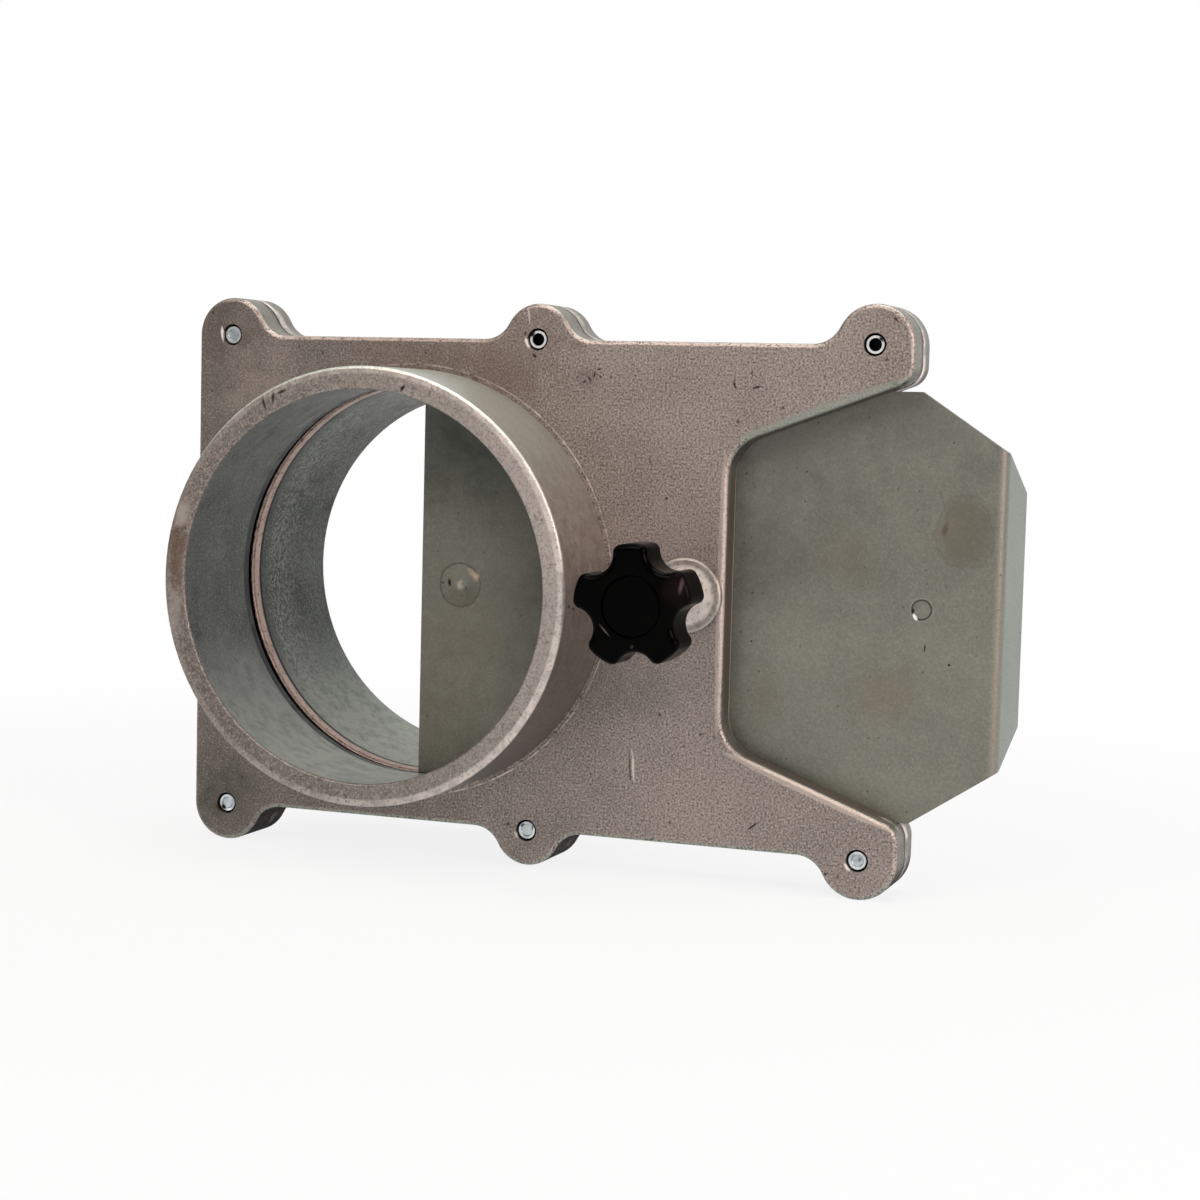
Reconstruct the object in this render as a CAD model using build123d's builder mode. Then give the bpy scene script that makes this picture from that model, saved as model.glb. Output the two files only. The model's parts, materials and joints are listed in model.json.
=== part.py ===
from build123d import *
from math import cos, radians, sin, tan
import os

# Cast blast gate for a dust duct of about 100 mm.
# Two cast halves are screwed together round a flat sheet blade that slides between them.
# A lobed knob drives a stud through the front casting and clamps the blade where it is set.
# Frame: +X is the way the blade opens, +Y runs along the duct away from the knob, +Z is up.
# The origin lies on the bore axis, in the plane of the front casting's outer face.
# All sizes are in millimetres. The blade is drawn half open.

# Duct spigots
spigot_radius = 50.8
spigot_length = 28.3
rim_wall = 5.4
throat_wall = 3.3
throat_rounding = 1.0
rim_outer_rounding = 0.8
rim_inner_rounding = 0.6
turned_ring_width = 1.2
turned_ring_depth = 0.2

# Plates of the two castings
plate_wall = 6.8
rail_width = 8.0
edge_rounding = 1.1

# Lugs and screws, in three columns above and below the bore
first_column_x = -49.1
column_pitch = 80.8
corner_lug_radius = 9.1
middle_lug_radius = 8.4
lug_root_radius = 7.0
screw_radius = 2.4
screw_hole_clearance = 0.2
screw_tip_inset = 0.5
screw_tip_chamfer = 0.5
screw_head_radius = 4.6
screw_head_height = 3.2
screw_head_rounding = 1.6

# Hand notch between the two arms
notch_x = 79.2
notch_lug_wall = 1.44
notch_slope = 20.5
notch_corner_radius = 10.0
arm_corner_radius = 5.0

# Sheet blade with a lip folded away from the knob side
blade_thickness = 1.6
blade_cover = 1.5
blade_length = 141.8
blade_lead_x = 0.0
blade_corner_length = 19.6
lip_length = 14.0
lip_angle = 81.0
bend_radius = 1.2

# Room for the blade to slide
blade_face_clearance = 0.4
guide_clearance = 1.2
guide_seat_gap = 0.2
slot_end_clearance = 0.4
lip_end_clearance = 0.8
close_travel = 53.7
open_travel = 59.9

# Marks of the clamp on the blade
dimple_radius = 5.2
dimple_depth = 0.8
tip_mark_width = 0.35
tip_mark_depth = 0.15

# Clamp stud and its boss
stud_x = 70.0
stud_radius = 3.0
stud_clearance = 0.08
stud_tip_radius = 2.3
stud_tip_gap = 0.6
stud_in_knob = 8.0
boss_radius = 8.8
boss_height = 1.4
boss_rounding = 0.7

# Lobed knob with a flush cap
knob_lobes = 5
knob_radius = 13.7
knob_valley_radius = 9.9
knob_scallop_radius = 4.6
knob_lobe_rounding = 1.8
knob_edge_rounding = 1.4
knob_thickness = 11.0
knob_lobe_angle = 94.0
knob_standoff = 26.0
hub_radius = 6.5
hub_length = 5.0
hub_rounding = 0.8
cap_radius = 6.7
cap_thickness = 1.6
cap_inset = 0.3
cap_clearance = 0.12
cap_rounding = 0.4

# Sizes that follow from the duct: the blade covers the throat, and the plate frames the blade
rim_bore_radius = spigot_radius - rim_wall
throat_radius = spigot_radius - throat_wall
blade_height = 2 * (throat_radius + blade_cover)
guide_half_height = blade_height / 2 + guide_clearance
plate_half_height = guide_half_height + rail_width

# Places that follow from the sizes above
recess_depth = blade_thickness / 2 + blade_face_clearance
seam_y = plate_wall + recess_depth
back_y = 2 * seam_y
blade_front_y = seam_y - blade_thickness / 2
blade_back_y = seam_y + blade_thickness / 2
blade_z = guide_seat_gap - guide_clearance
recess_left_x = blade_lead_x - close_travel - slot_end_clearance
column_x = [first_column_x + column_pitch * column for column in range(3)]
plate_left_x = column_x[0] - corner_lug_radius
plate_right_x = column_x[2] + corner_lug_radius
lug_to_notch = (corner_lug_radius + notch_lug_wall) / cos(radians(notch_slope))
notch_half_height = plate_half_height - lug_to_notch - (column_x[2] - notch_x) * tan(radians(notch_slope))
arm_half_height = notch_half_height + (plate_right_x - notch_x) * tan(radians(notch_slope))
screw_hole_radius = screw_radius + screw_hole_clearance
corner_lugs = [(x, side * plate_half_height) for x in (column_x[0], column_x[2]) for side in (1, -1)]
middle_lugs = [(column_x[1], side * plate_half_height) for side in (1, -1)]
screw_places = corner_lugs + middle_lugs
stud_tip_y = blade_front_y - stud_tip_gap
knob_back_y = -boss_height - knob_standoff
knob_face_y = knob_back_y - knob_thickness


def face_at(y):
    """A drawing plane across the duct at y, seen from the knob side with +X right and +Z up."""
    return Plane.XZ.offset(-y)


# Outline of both plates: straight edges, six lugs, and the notch between the arms
with BuildSketch(Plane.XZ) as plate_outline:
    with BuildLine():
        Polyline(
            (plate_left_x, -plate_half_height),
            (plate_right_x, -plate_half_height),
            (plate_right_x, -arm_half_height),
            (notch_x, -notch_half_height),
            (notch_x, notch_half_height),
            (plate_right_x, arm_half_height),
            (plate_right_x, plate_half_height),
            (plate_left_x, plate_half_height),
            close=True,
        )
    make_face()
    with Locations(*corner_lugs):
        Circle(corner_lug_radius)
    with Locations(*middle_lugs):
        Circle(middle_lug_radius)
    lug_roots = [
        column_x[0] + corner_lug_radius,
        column_x[1] - middle_lug_radius,
        column_x[1] + middle_lug_radius,
        column_x[2] - corner_lug_radius,
    ]
    for x in lug_roots:
        root_corners = plate_outline.vertices().filter_by(
            lambda corner, x=x: abs(corner.X - x) < 0.01 and abs(abs(corner.Y) - plate_half_height) < 0.01
        )
        fillet(root_corners, lug_root_radius)
    notch_corners = plate_outline.vertices().filter_by(
        lambda corner: abs(corner.X - notch_x) < 0.01
    )
    fillet(notch_corners, notch_corner_radius)
    arm_corners = plate_outline.vertices().filter_by(
        lambda corner: abs(corner.X - plate_right_x) < 0.01 and abs(abs(corner.Y) - arm_half_height) < 0.01
    )
    fillet(arm_corners, arm_corner_radius)

# Pattern that both halves are cast from, drawn as the front half
with BuildPart() as casting_pattern:
    extrude(plate_outline.sketch, amount=-seam_y)
    fillet(casting_pattern.edges().group_by(Axis.Y)[0], edge_rounding)
    with BuildSketch(face_at(plate_wall / 2)):
        Circle(spigot_radius)
    extrude(amount=plate_wall / 2 + spigot_length)

    # Bore that widens from the rim to the slot, as the core's draft leaves it
    with BuildSketch(Plane.XY):
        with BuildLine():
            Polyline(
                (0, -spigot_length),
                (rim_bore_radius, -spigot_length),
                (throat_radius, plate_wall),
                (0, plate_wall),
                close=True,
            )
        make_face()
    revolve(axis=Axis.Y, mode=Mode.SUBTRACT)

    # Blade recess, open towards the notch
    with BuildSketch(face_at(seam_y)):
        with BuildLine():
            Polyline(
                (recess_left_x, -guide_half_height),
                (plate_right_x, -guide_half_height),
                (plate_right_x, guide_half_height),
                (recess_left_x, guide_half_height),
                close=True,
            )
        make_face()
    extrude(amount=recess_depth, mode=Mode.SUBTRACT)

    # Rounded rim
    rim_edges = casting_pattern.faces().sort_by(Axis.Y)[0].edges().sort_by(SortBy.LENGTH)
    fillet(rim_edges[-1], rim_outer_rounding)
    fillet(casting_pattern.faces().sort_by(Axis.Y)[0].edges().sort_by(SortBy.LENGTH)[0], rim_inner_rounding)

    # Ring that the lathe tool leaves at the foot of the spigot
    with BuildSketch(Plane.XZ):
        Circle(spigot_radius + turned_ring_width)
        Circle(spigot_radius, mode=Mode.SUBTRACT)
    extrude(amount=-turned_ring_depth, mode=Mode.SUBTRACT)

    # Screw holes through the lugs
    with BuildSketch(face_at(seam_y)):
        with Locations(*screw_places):
            Circle(screw_hole_radius)
    extrude(amount=seam_y, mode=Mode.SUBTRACT)

# Front half: the boss that carries the clamp stud
with BuildPart() as front_casting:
    add(casting_pattern.part)
    with BuildSketch(face_at(edge_rounding)):
        with Locations((stud_x, 0)):
            Circle(boss_radius)
    extrude(amount=edge_rounding + boss_height)
    boss_face = front_casting.faces().filter_by(Axis.Y).filter_by(
        lambda face: abs(face.center().Y + boss_height) < 0.01
    )
    fillet(boss_face.edges(), boss_rounding)
    with BuildSketch(face_at(plate_wall)):
        with Locations((stud_x, 0)):
            Circle(stud_radius + stud_clearance)
    extrude(amount=plate_wall + boss_height, mode=Mode.SUBTRACT)
front_casting.part.label = "front_casting"

# Rear half: the same pattern turned about the seam, with its throat edge eased
with BuildPart() as rear_casting:
    mirror(casting_pattern.part, about=face_at(seam_y))
    throat_edges = rear_casting.edges().filter_by(GeomType.CIRCLE).filter_by(
        lambda edge: abs(edge.radius - throat_radius) < 0.01
    )
    fillet(throat_edges, throat_rounding)
rear_casting.part.label = "rear_casting"

# Blade: one folded sheet, its corners cut back and the cut carried on into the lip,
# so that the lip drops into the notch when the gate is shut
fold_x = blade_lead_x + blade_length
corner_start_x = fold_x - blade_corner_length
lip_run = lip_length * cos(radians(lip_angle))
lip_back_y = blade_front_y + lip_length * sin(radians(lip_angle))
shut_fold_x = fold_x - close_travel
notch_at_shut_fold = notch_half_height + (shut_fold_x - notch_x) * tan(radians(notch_slope))
fold_half_height = notch_at_shut_fold + blade_z - lip_end_clearance
corner_cut = (blade_height / 2 - fold_half_height) / blade_corner_length
lip_half_height = fold_half_height - lip_length * corner_cut
beyond_x = fold_x + lip_length
beyond_y = lip_back_y + blade_thickness
with BuildPart() as gate_blade:
    with BuildSketch(Plane.XY.offset(blade_z - blade_height / 2)):
        with BuildLine():
            FilletPolyline(
                (blade_lead_x, blade_front_y),
                (fold_x, blade_front_y),
                (fold_x + lip_run, lip_back_y),
                radius=bend_radius + blade_thickness,
            )
            offset(amount=blade_thickness, side=Side.LEFT)
        make_face()
    extrude(amount=blade_height)
    for side in (1, -1):
        edge_z = blade_z + side * blade_height / 2
        with BuildSketch(face_at(beyond_y)):
            with BuildLine():
                Polyline(
                    (corner_start_x, edge_z),
                    (beyond_x, edge_z),
                    (beyond_x, edge_z - side * (beyond_x - corner_start_x) * corner_cut),
                    close=True,
                )
            make_face()
        extrude(amount=beyond_y, mode=Mode.SUBTRACT)
        with BuildSketch(Plane.YZ.offset(fold_x - bend_radius - blade_thickness)):
            with BuildLine():
                Polyline(
                    (blade_back_y, blade_z + side * fold_half_height),
                    (lip_back_y, blade_z + side * lip_half_height),
                    (beyond_y, blade_z + side * lip_half_height),
                    (beyond_y, edge_z),
                    (blade_back_y, edge_z),
                    close=True,
                )
            make_face()
        extrude(amount=beyond_x, mode=Mode.SUBTRACT)

    # Dimple that meets the stud when the gate is open
    dimple_x = stud_x - open_travel
    with BuildSketch(Plane.XY.offset(blade_z)):
        with BuildLine():
            Polyline(
                (dimple_x, blade_front_y),
                (dimple_x + dimple_radius, blade_front_y),
                (dimple_x, blade_front_y + dimple_depth),
                close=True,
            )
        make_face()
    revolve(axis=Axis((dimple_x, 0, blade_z), (0, 1, 0)), mode=Mode.SUBTRACT)

    # Ring that the stud's tip has pressed in when the gate is closed
    with BuildSketch(face_at(blade_front_y)):
        with Locations((stud_x + close_travel, blade_z)):
            Circle(stud_tip_radius)
            Circle(stud_tip_radius - tip_mark_width, mode=Mode.SUBTRACT)
    extrude(amount=-tip_mark_depth, mode=Mode.SUBTRACT)
gate_blade.part.label = "gate_blade"

# Six like screws, driven from the back, with their tips just below the front lugs
with BuildPart() as case_screws:
    with BuildSketch(face_at(back_y)):
        with Locations(*screw_places):
            Circle(screw_radius)
    extrude(amount=back_y - screw_tip_inset)
    chamfer(case_screws.edges().group_by(Axis.Y)[0], screw_tip_chamfer)
    with BuildSketch(face_at(back_y)):
        with Locations(*screw_places):
            Circle(screw_head_radius)
    extrude(amount=-screw_head_height)
    fillet(case_screws.edges().group_by(Axis.Y)[-1], screw_head_rounding)
case_screws.part.label = "case_screws"

# Stud, from inside the knob to its chamfered tip over the blade
stud_end_y = knob_back_y - stud_in_knob
with BuildPart() as clamp_stud:
    with BuildSketch(face_at(stud_tip_y)):
        with Locations((stud_x, 0)):
            Circle(stud_radius)
    extrude(amount=stud_tip_y - stud_end_y)
    chamfer(clamp_stud.edges().group_by(Axis.Y)[-1], stud_radius - stud_tip_radius)
clamp_stud.part.label = "clamp_stud"

# Knob: scalloped disc with a hub behind, a socket for the stud and a seat for the cap
with BuildPart() as clamp_knob:
    with BuildSketch(face_at(knob_back_y)) as knob_outline:
        with Locations((stud_x, 0)):
            Circle(knob_radius)
            scallop_angle = knob_lobe_angle + 180 / knob_lobes
            with PolarLocations(knob_valley_radius + knob_scallop_radius, knob_lobes, scallop_angle):
                Circle(knob_scallop_radius, mode=Mode.SUBTRACT)
        fillet(knob_outline.vertices(), knob_lobe_rounding)
    extrude(amount=knob_thickness)
    knob_rims = clamp_knob.edges().group_by(Axis.Y)
    fillet(knob_rims[0] + knob_rims[-1], knob_edge_rounding)
    with BuildSketch(face_at(knob_back_y)):
        with Locations((stud_x, 0)):
            Circle(hub_radius)
    extrude(amount=-hub_length)
    fillet(clamp_knob.edges().group_by(Axis.Y)[-1], hub_rounding)
    with BuildSketch(face_at(knob_back_y + hub_length)):
        with Locations((stud_x, 0)):
            Circle(stud_radius + stud_clearance)
    extrude(amount=hub_length + stud_in_knob + stud_clearance, mode=Mode.SUBTRACT)
    with BuildSketch(face_at(knob_face_y)):
        with Locations((stud_x, 0)):
            Circle(cap_radius + cap_clearance)
    extrude(amount=-cap_inset - cap_thickness, mode=Mode.SUBTRACT)
clamp_knob.part.label = "clamp_knob"

# Cap pressed into the knob's face
with BuildPart() as knob_cap:
    with BuildSketch(face_at(knob_face_y + cap_inset + cap_thickness)):
        with Locations((stud_x, 0)):
            Circle(cap_radius)
    extrude(amount=cap_thickness)
    fillet(knob_cap.edges().group_by(Axis.Y)[0], cap_rounding)
knob_cap.part.label = "knob_cap"

os.makedirs("parts", exist_ok=True)
export_step(front_casting.part, "parts/front_casting.step")
export_step(rear_casting.part, "parts/rear_casting.step")
export_step(gate_blade.part, "parts/gate_blade.step")
export_step(case_screws.part, "parts/case_screws.step")
export_step(clamp_stud.part, "parts/clamp_stud.step")
export_step(clamp_knob.part, "parts/clamp_knob.step")
export_step(knob_cap.part, "parts/knob_cap.step")
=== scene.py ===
"""Dresses a cast blast gate for a dust duct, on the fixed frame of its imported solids.

The castings, the sheet blade, the knob and its cap keep their solids and get their finishes here.
The case screws and the clamp stud are modelled again, with their threads, points and driver recesses.
Sizes are in millimetres and are turned to metres where they meet Blender.
"""

from __future__ import annotations

import json
import logging
import math
from dataclasses import dataclass
from enum import Enum
from functools import partial
from types import SimpleNamespace
from typing import Any, Callable

import bmesh
import bpy
from mathutils import Matrix, Vector

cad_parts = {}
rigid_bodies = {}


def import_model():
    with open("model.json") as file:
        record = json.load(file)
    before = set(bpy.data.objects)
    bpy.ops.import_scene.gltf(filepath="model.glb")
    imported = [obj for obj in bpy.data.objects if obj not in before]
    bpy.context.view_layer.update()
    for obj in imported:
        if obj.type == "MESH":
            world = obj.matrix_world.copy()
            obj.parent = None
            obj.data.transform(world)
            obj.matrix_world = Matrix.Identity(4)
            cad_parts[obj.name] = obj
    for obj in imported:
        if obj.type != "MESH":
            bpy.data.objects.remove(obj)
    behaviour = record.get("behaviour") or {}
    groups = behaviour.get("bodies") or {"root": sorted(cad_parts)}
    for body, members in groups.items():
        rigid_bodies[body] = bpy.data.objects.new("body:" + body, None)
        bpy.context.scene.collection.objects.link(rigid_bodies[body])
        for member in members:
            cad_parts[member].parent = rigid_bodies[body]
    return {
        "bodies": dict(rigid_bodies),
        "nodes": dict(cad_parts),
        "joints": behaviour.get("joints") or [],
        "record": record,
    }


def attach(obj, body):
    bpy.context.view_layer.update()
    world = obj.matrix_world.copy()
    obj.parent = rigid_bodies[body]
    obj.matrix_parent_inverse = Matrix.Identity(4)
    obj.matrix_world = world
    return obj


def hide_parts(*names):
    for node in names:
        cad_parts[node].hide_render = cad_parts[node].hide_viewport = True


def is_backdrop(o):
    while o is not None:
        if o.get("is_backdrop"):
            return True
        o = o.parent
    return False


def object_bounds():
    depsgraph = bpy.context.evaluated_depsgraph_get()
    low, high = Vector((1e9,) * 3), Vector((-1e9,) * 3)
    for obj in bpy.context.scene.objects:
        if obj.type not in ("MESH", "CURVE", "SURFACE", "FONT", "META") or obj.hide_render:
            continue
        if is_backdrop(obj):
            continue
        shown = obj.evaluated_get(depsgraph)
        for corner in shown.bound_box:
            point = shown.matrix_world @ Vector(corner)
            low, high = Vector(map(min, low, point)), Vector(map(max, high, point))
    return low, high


MM = 0.001
HALF = (0.5, 0.5, 0.5)
log = logging.getLogger("blast_gate")

Colour = tuple[float, float, float, float]
Place = tuple[float, float, float]
Tree = bpy.types.NodeTree
Adder = Callable[..., bpy.types.Node]


class Body(str, Enum):
    """The bodies that new pieces ride on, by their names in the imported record."""

    CASE = "case"
    STUD = "stud"


class Slot(str, Enum):
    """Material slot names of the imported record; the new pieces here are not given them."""

    SCREW = "zinc_screw"


class End(Enum):
    """The ends of a piece that is modelled along Z, by the way they look."""

    UPPER = 1.0
    LOWER = -1.0


class Cut(str, Enum):
    """What a cutting body does to a piece."""

    AWAY = "DIFFERENCE"
    TO_SIZE = "INTERSECT"


class Node(str, Enum):
    """Blender's node types, by what they do here."""

    BUMP = "ShaderNodeBump"
    CELLS = "ShaderNodeTexVoronoi"
    CHANNELS = "ShaderNodeSeparateColor"
    COORDS = "ShaderNodeTexCoord"
    GLOW = "ShaderNodeEmission"
    MATH = "ShaderNodeMath"
    MATT = "ShaderNodeBsdfDiffuse"
    MIX = "ShaderNodeMix"
    MIX_SHADERS = "ShaderNodeMixShader"
    NOISE = "ShaderNodeTexNoise"
    OUTPUT = "ShaderNodeOutputMaterial"
    PLACE = "ShaderNodeMapping"
    RANGE = "ShaderNodeMapRange"
    RAYS = "ShaderNodeLightPath"
    SHADER = "ShaderNodeBsdfPrincipled"
    SKY = "ShaderNodeBackground"
    SKY_OUTPUT = "ShaderNodeOutputWorld"
    SPLIT = "ShaderNodeSeparateXYZ"
    VECTOR = "ShaderNodeVectorMath"


def linear(hex_colour: str) -> Colour:
    """Turns an sRGB hex colour into linear RGBA.

    Args:
        hex_colour: Six hex digits after a hash sign.

    Returns:
        The colour as Blender's shaders take it.
    """
    channels = []
    for start in (1, 3, 5):
        value = int(hex_colour[start:start + 2], 16) / 255
        channels.append(value / 12.92 if value <= 0.04045 else ((value + 0.055) / 1.055) ** 2.4)
    return (channels[0], channels[1], channels[2], 1.0)


def per_metre(size_mm: float) -> float:
    """Finds the scale, on object coordinates, at which one feature of a pattern has a size in mm."""
    return 1.0 / (size_mm * MM)


def add_node(
    tree: Tree, kind: Node, inputs: dict[str | int, Any] | None = None, **settings: Any
) -> bpy.types.Node:
    """Adds a node to a tree with its settings, values and links.

    Args:
        tree: The node tree that gets the node.
        kind: The node's type.
        inputs: For each input socket, a value, a node or the output socket that feeds it.
        settings: The node's own properties.

    Returns:
        The new node.
    """
    node = tree.nodes.new(kind.value)
    for name, value in settings.items():
        setattr(node, name, value)
    for socket, value in (inputs or {}).items():
        if isinstance(value, bpy.types.Node):
            value = next(output for output in value.outputs if output.enabled)
        if isinstance(value, bpy.types.NodeSocket):
            tree.links.new(value, node.inputs[socket])
        else:
            node.inputs[socket].default_value = value
    return node


def overlap(add: Adder, *masks: Any) -> Any:
    """Finds where all of several masks are high.

    Args:
        add: Adds nodes to the material.
        masks: Nodes, sockets or plain shares.

    Returns:
        The mask of their overlap.
    """
    shared = masks[0]
    for mask in masks[1:]:
        shared = add(Node.MATH, {0: shared, 1: mask}, operation="MULTIPLY")
    return shared


def lay_over(add: Adder, ground: str, layers: list[tuple[Any, ...]]) -> bpy.types.Node:
    """Lays colours over a ground colour in turn, each where all of its masks are high.

    Args:
        add: Adds nodes to the material.
        ground: The ground's hex colour.
        layers: For each layer its hex colour and then its masks.

    Returns:
        The node that gives the finished colour.
    """
    colour: Any = linear(ground)
    for hex_colour, *masks in layers:
        share = overlap(add, *masks)
        colour = add(Node.MIX, {0: share, 6: colour, 7: linear(hex_colour)}, data_type="RGBA")
    return colour


def start_material(name: str) -> tuple[bpy.types.Material, Adder, bpy.types.Node]:
    """Starts an empty node material.

    Args:
        name: The material's name, after the real material and how it was made.

    Returns:
        The material, what adds nodes to it, and its texture coordinates.
    """
    material = bpy.data.materials.new(name)
    material.use_nodes = True
    material.node_tree.nodes.clear()
    add = partial(add_node, material.node_tree)
    return material, add, add(Node.COORDS)


@dataclass(frozen=True)
class Mark:
    """A small local mark on a face that looks along the duct: a scratch, a stain or a patch of pits.

    Args:
        place: Its middle in the frame, in mm.
        length: Its length in mm.
        width: Its width in mm.
        hex_colour: Its colour.
        turn: How far its length is turned from +X towards +Z, in degrees.
        strength: How much of its colour shows.
        core: The share of its reach that has the full colour.
        hollow: The share of its reach that stays clear in the middle, as in a ring.
        wander: How far its outline wanders, as a share of its reach.
        depth: How far it reaches along the duct to both sides, in mm.
    """

    place: Place
    length: float
    width: float
    hex_colour: str
    turn: float = 0.0
    strength: float = 1.0
    core: float = 0.4
    hollow: float = 0.0
    wander: float = 2.0
    depth: float = 1.5

    def layer(self, add: Adder, position: Any, waves: Any) -> tuple[Any, ...]:
        """Builds the mark as a layer with a soft edge.

        Args:
            add: Adds nodes to the material.
            position: Object coordinates.
            waves: The pattern that outlines wander by, about nought.

        Returns:
            The mark's colour and masks.
        """
        own = add(
            Node.PLACE,
            {
                "Vector": position,
                "Location": [value * MM for value in self.place],
                "Rotation": (0.0, -math.radians(self.turn), 0.0),
                "Scale": (self.length / 2 * MM, self.depth * MM, self.width / 2 * MM),
            },
            vector_type="TEXTURE",
        )
        drift = (self.wander, 0.0, self.wander)
        bent = add(Node.VECTOR, {0: waves, 1: drift, 2: own}, operation="MULTIPLY_ADD")
        reach = add(Node.VECTOR, {0: bent}, operation="LENGTH")
        masks = [add(Node.RANGE, {0: reach, 1: 1.0, 2: self.core, 3: 0.0, 4: self.strength})]
        if self.hollow:
            fade = 0.08
            masks.append(add(Node.RANGE, {0: reach, 1: self.hollow, 2: self.hollow + fade}))
        return (self.hex_colour, *masks)


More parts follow.
